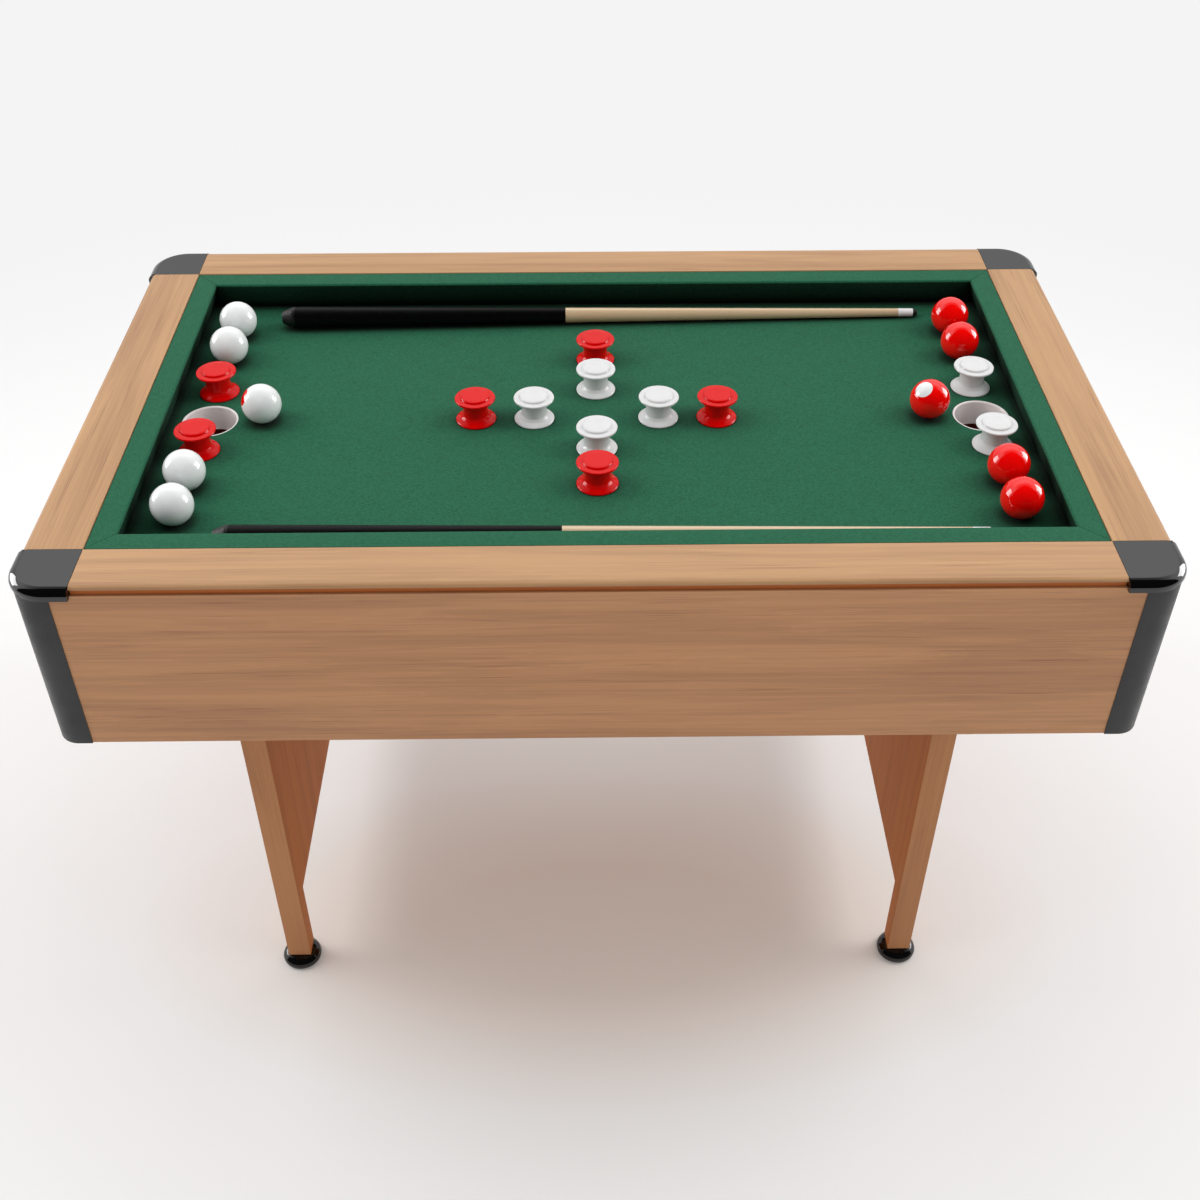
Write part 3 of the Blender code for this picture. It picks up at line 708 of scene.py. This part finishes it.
def make_legs(stuff):
    foot_y = LEG_HIGH.y - LEG_POST_DEPTH / 2
    foot_x = (LEG_LOW.x + LEG_HIGH.x) / 2
    for side, sign in (("left", -1), ("right", 1)):
        materials = [stuff[f"leg_{side}"], stuff["leg_edge"]]
        piece(f"leg_{side}_wood", leg_mesh(), materials, f"leg_frame_{side}", "leg_wood",
              turn=0 if sign > 0 else 180, edge=0.0009)
        for end, end_sign in (("front", -1), ("back", 1)):
            name = f"leveller_{end}_{side}"
            at = (sign * foot_x, end_sign * foot_y, 0)
            materials = [stuff["foot"], stuff["thread"]]
            piece(f"foot_{end}_{side}", leveller_mesh(), materials, name, "foot_plastic", name, at)


# ---------------------------------------------------------------- bumpers, balls and cues


def bumper_mesh():
    """A spool, from the button on its flange down to its flared foot."""
    rim, post = BUMPER_RADIUS, BUMPER_POST_RADIUS
    profile = rounded(
        [
            (0, 0.0378, 0),
            (0.0163, 0.0378, 0.0100),
            (0.0190, 0.0372, 0.0022),
            (0.0200, 0.0350, 0.0004),
            (rim - 0.0006, 0.0346, 0.0008),
            (rim, 0.0334, 0.0006),
            (rim - 0.0003, 0.0318, 0.0006),
            (post + 0.0030, 0.0306, 0.0020),
            (post, 0.0280, 0.0024),
            (post - 0.0002, 0.0180, 0.0100),
            (post, 0.0090, 0.0040),
            (post + 0.0034, 0.0054, 0.0040),
            (rim - 0.0010, 0.0024, 0.0008),
            (rim, 0.0014, 0.0007),
            (rim - 0.0002, 0.0001, 0),
            (0, 0.0001, 0),
        ],
        False,
        6,
    )
    return turned("bumper", profile, 72, sharp_degrees=30)


def make_bumpers(stuff):
    for node in sorted(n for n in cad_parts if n.startswith("bumper_")):
        low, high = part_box(node)
        color = "red" if "_red_" in node else "white"
        at = ((low.x + high.x) / 2, (low.y + high.y) / 2, low.z)
        piece(f"{node}_spool", bumper_mesh(), stuff[color], node, f"{color}_plastic", at=at)


def ball_mesh(spot_degrees=0):
    """A sphere, whose pole may carry an inlaid spot of another colour."""
    angles = [180 * k / 48 for k in range(49)]
    if spot_degrees:
        angles = [spot_degrees * k / 10 for k in range(10)]
        angles += [spot_degrees + (180 - spot_degrees) * k / 40 for k in range(41)]
    profile = [(BALL_RADIUS * sin(radians(a)), BALL_RADIUS * cos(radians(a))) for a in angles]
    slots = [1 if a < spot_degrees - 0.01 else 0 for a in angles[:-1]]
    return turned("ball", profile, 72, slots, sharp_degrees=180)


def make_balls(stuff):
    spots = {  # toward where each spot looks, and its colour
        "ball_white_3": ((-0.858, -0.160, 0.489), "ball_red"),
        "ball_red_3": ((-0.494, -0.321, 0.808), "ball_white"),
    }
    for node in sorted(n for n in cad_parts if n.startswith("ball_") and "tray" not in n):
        low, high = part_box(node)
        middle = (low + high) / 2
        color = "ball_red" if "_red_" in node else "ball_white"
        slot = "red_ball" if "_red_" in node else "white_ball"
        toward, spot_color = spots.get(node, ((0, 0, 1), color))
        mesh = ball_mesh(SPOT_DEGREES if node in spots else 0)
        mesh.transform(Vector((0, 0, 1)).rotation_difference(Vector(toward)).to_matrix().to_4x4())
        piece(f"{node}_resin", mesh, [stuff[color], stuff[spot_color]], node, slot, body=node, at=middle)


def cue_radius(z):
    """The cue's radius at a distance from its butt end, a hair under the CAD's cone."""
    return CUE_BUTT_RADIUS - (CUE_BUTT_RADIUS - CUE_TIP_RADIUS) / CUE_LENGTH * z - 0.00002


def butt_mesh(name):
    """The butt, with a rubber end before its grip."""
    joint = CUE_BUTT_LENGTH
    end = rounded(
        [
            (0, 0.0002, 0),
            (CUE_END_RADIUS, 0.0002, 0.002),
            (0.0134, 0.0112, 0.003),
            (cue_radius(CUE_END_CHAMFER), CUE_END_CHAMFER, 0.004),
            (cue_radius(0.020), 0.020, 0),
        ],
        False,
    )
    grip = [(cue_radius(z), z) for z in (joint * k / 24 for k in range(2, 24))]
    grip += [(cue_radius(joint), joint - 0.0003), (cue_radius(joint) - 0.0003, joint), (0, joint)]
    return turned(name, end + grip, 48, [0] * (len(end) - 1) + [1] * len(grip))


def shaft_mesh(name):
    """The shaft of three materials: wood, a white ferrule and a black tip."""
    start, tip = CUE_BUTT_LENGTH, CUE_LENGTH - CUE_TIP_HEIGHT
    ferrule = tip - CUE_FERRULE_LENGTH
    wood_part = [(0, start + GAP), (cue_radius(start) - 0.0003, start + GAP)]
    wood_part.append((cue_radius(start), start + 0.0006))
    wood_part += [(cue_radius(z), z) for z in (start + (ferrule - start) * k / 20 for k in range(1, 21))]
    white_part = [(cue_radius(ferrule) - 0.0001, ferrule + 0.0001), (cue_radius(tip) - 0.0001, tip)]
    black_part = [(cue_radius(tip) - 0.0006, tip + 0.0001), (CUE_TIP_RADIUS - 0.0010, CUE_LENGTH - 0.0030)]
    black_part.append((CUE_TIP_RADIUS - 0.0022, CUE_LENGTH - 0.0010))
    black_part += [(CUE_TIP_RADIUS - 0.0040, CUE_LENGTH - 0.0003), (0, CUE_LENGTH)]
    slots = [0] * (len(wood_part) - 1) + [1] * len(white_part) + [2] * len(black_part)
    return turned(name, wood_part + white_part + black_part, 48, slots)


def make_cues(stuff):
    lie = FIELD_Z + 2 * GAP
    for name, (butt_end, tip_end) in CUES.items():
        start = Vector((*butt_end, lie + CUE_BUTT_RADIUS))
        along = Vector((*tip_end, lie + CUE_TIP_RADIUS)) - start
        place = {"at": start, "rotation": (0, atan2(along.xy.length, along.z), atan2(along.y, along.x))}
        grip, maple = f"{name}_grip", f"{name}_maple"
        materials = [stuff["butt_end"], stuff["butt"]]
        piece(grip, butt_mesh(grip), materials, f"{name}_butt", "cue_butt", name, **place)
        materials = [stuff["shaft"], stuff["ferrule"], stuff["tip"]]
        piece(maple, shaft_mesh(maple), materials, f"{name}_shaft", "cue_shaft", name, **place)


# ---------------------------------------------------------------- stage


def make_floor():
    """Matt paper, with a warm shade painted under the table for light bounced off its wood, that fades into
    the surroundings.
    """
    bm = bmesh.new()
    bmesh.ops.create_grid(bm, x_segments=1, y_segments=1, size=14)
    mesh = mesh_of("studio_floor", bm)
    made = Finish("studio_floor", Specular_IOR_Level=0.0, Roughness=0.9)
    where = made.add("SeparateXYZ", {0: made.object_at}).outputs

    def distance(middle_y, squash):
        x = made.math("POWER", made.math("MULTIPLY", where["X"], squash), 2.0)
        y = made.math("POWER", made.math("SUBTRACT", where["Y"], middle_y), 2.0)
        return made.math("SQRT", made.math("ADD", x, y))

    cloud = made.noise(made.object_at, 1.5, 2.0)
    paper = made.ramp(cloud, [(0.3, FLOOR_TONE * 0.99), (0.7, FLOOR_TONE)])
    # Painted shade: a warm, darker tint under the table stands in for light bounced off its wood.
    painted_warm_shade = made.spread(distance(-0.27, 0.45), 1.0, 0.0, 0.12, 0.33)
    mesh.materials.append(made.done(made.mix(painted_warm_shade, paper, (0.93, 0.825, 0.74), "MULTIPLY")))
    floor = bpy.data.objects.new("studio_floor", mesh)
    bpy.context.collection.objects.link(floor)
    fade = made.spread(distance(0.2, 1.0), 0.09, 1.0, 1.12, 2.5)
    glow = made.add("Emission", {"Color": (PAPER, PAPER, PAPER, 1)}).outputs[0]
    both = made.add("MixShader", {0: fade, 1: made.shader.outputs[0], 2: glow}).outputs[0]
    made.tree.links.new(both, made.tree.nodes["Material Output"].inputs["Surface"])


def make_world():
    """Pale walls behind and beside the table, a dim room before it, and plain paper for the camera."""
    world = bpy.data.worlds.new("studio")
    bpy.context.scene.world = world
    world.use_nodes = True
    tree = world.node_tree
    tree.nodes.clear()

    def add(kind, *values, **settings):
        node = tree.nodes.new(f"ShaderNode{kind}")
        for key, value in settings.items():
            setattr(node, key, value)
        for socket, value in zip(node.inputs, values):
            if isinstance(value, bpy.types.NodeSocket):
                tree.links.new(value, socket)
            else:
                socket.default_value = value
        return node

    def spread(value, start, end, low, high):
        return add("MapRange", value, start, end, low, high).outputs[0]

    def blend(factor, first, second):
        return add("Mix", factor, (0, 0, 0), first, second, data_type="FLOAT").outputs[0]

    toward = add("SeparateXYZ", add("TexCoord").outputs["Generated"]).outputs
    sideways = add("Math", toward["X"], operation="ABSOLUTE").outputs[0]
    behind = add("Math", sideways, 0.31, toward["Y"], operation="MULTIPLY_ADD").outputs[0]
    level = blend(spread(toward["Z"], 0.70, 0.90, 0.0, 1.0), WALL_SIDE, CEILING)
    path = add("LightPath").outputs
    low = blend(path["Is Glossy Ray"], WALL_BACK_LOW, WALL_BACK_LOW_GLOSS)
    back = blend(spread(toward["Z"], 0.42, 0.66, 0.0, 1.0), low, WALL_BACK_HIGH)
    level = blend(spread(toward["Y"], 0.35, 0.55, 0.0, 1.0), level, back)
    front = blend(path["Is Glossy Ray"], WALL_FRONT, WALL_FRONT_GLOSS)
    edge = blend(path["Is Glossy Ray"], -0.12, 0.22)
    behind = add("Math", behind, edge, operation="SUBTRACT").outputs[0]
    level = blend(spread(behind, -0.02, 0.02, 0.0, 1.0), front, level)
    light = add("Background", (1, 1, 1, 1), level).outputs[0]
    paper = add("Background", (PAPER, PAPER, PAPER, 1)).outputs[0]
    add("OutputWorld", add("MixShader", path["Is Camera Ray"], light, paper).outputs[0])


def pale_light(name, at, size, power, seen_by_gloss):
    """A rectangular light aimed at the table. Either only reflections see it, or only diffuse light does."""
    lamp = bpy.data.lights.new(name, "AREA")
    lamp.shape = "RECTANGLE"
    lamp.size, lamp.size_y = size
    lamp.energy = power
    made = bpy.data.objects.new(name, lamp)
    bpy.context.collection.objects.link(made)
    made.location = at
    made.rotation_euler = (Vector(LIGHT_AIM) - Vector(at)).to_track_quat("-Z", "Y").to_euler()
    made.visible_camera = False
    made.visible_diffuse = not seen_by_gloss
    made.visible_glossy = seen_by_gloss


def make_lights():
    for side, sign in (("left", -1), ("right", 1)):
        (x, y, z), (window_x, window_y, window_z) = SOFTBOX_AT, WINDOW_AT
        pale_light(f"softbox_{side}", (sign * x, y, z), SOFTBOX_SIZE, SOFTBOX_WATTS, False)
        pale_light(f"window_{side}", (sign * window_x, window_y, window_z), WINDOW_SIZE, WINDOW_WATTS, True)


def make_camera():
    scene = bpy.context.scene
    camera = bpy.data.cameras.new("camera")
    camera.sensor_width = camera.sensor_height = 36
    camera.angle = radians(CAMERA_FOV)
    made = bpy.data.objects.new("camera", camera)
    scene.collection.objects.link(made)
    pitch, yaw, roll = (radians(a) for a in CAMERA_TURN)
    forward = Vector((sin(yaw) * cos(pitch), cos(yaw) * cos(pitch), sin(pitch)))
    look = forward.to_track_quat("-Z", "Y").to_matrix()
    made.matrix_world = Matrix.Translation(CAMERA_AT) @ (look @ Matrix.Rotation(roll, 3, "Z")).to_4x4()
    scene.camera = made
    scene.view_settings.view_transform = "Standard"
    scene.view_settings.look = "None"


def main():
    stuff = make_materials()
    make_camera()
    make_world()
    make_floor()
    make_lights()
    make_sides(stuff)
    make_corners(stuff)
    make_bed(stuff)
    make_pockets(stuff)
    make_legs(stuff)
    make_bumpers(stuff)
    make_balls(stuff)
    make_cues(stuff)


main()
bpy.context.view_layer.update()
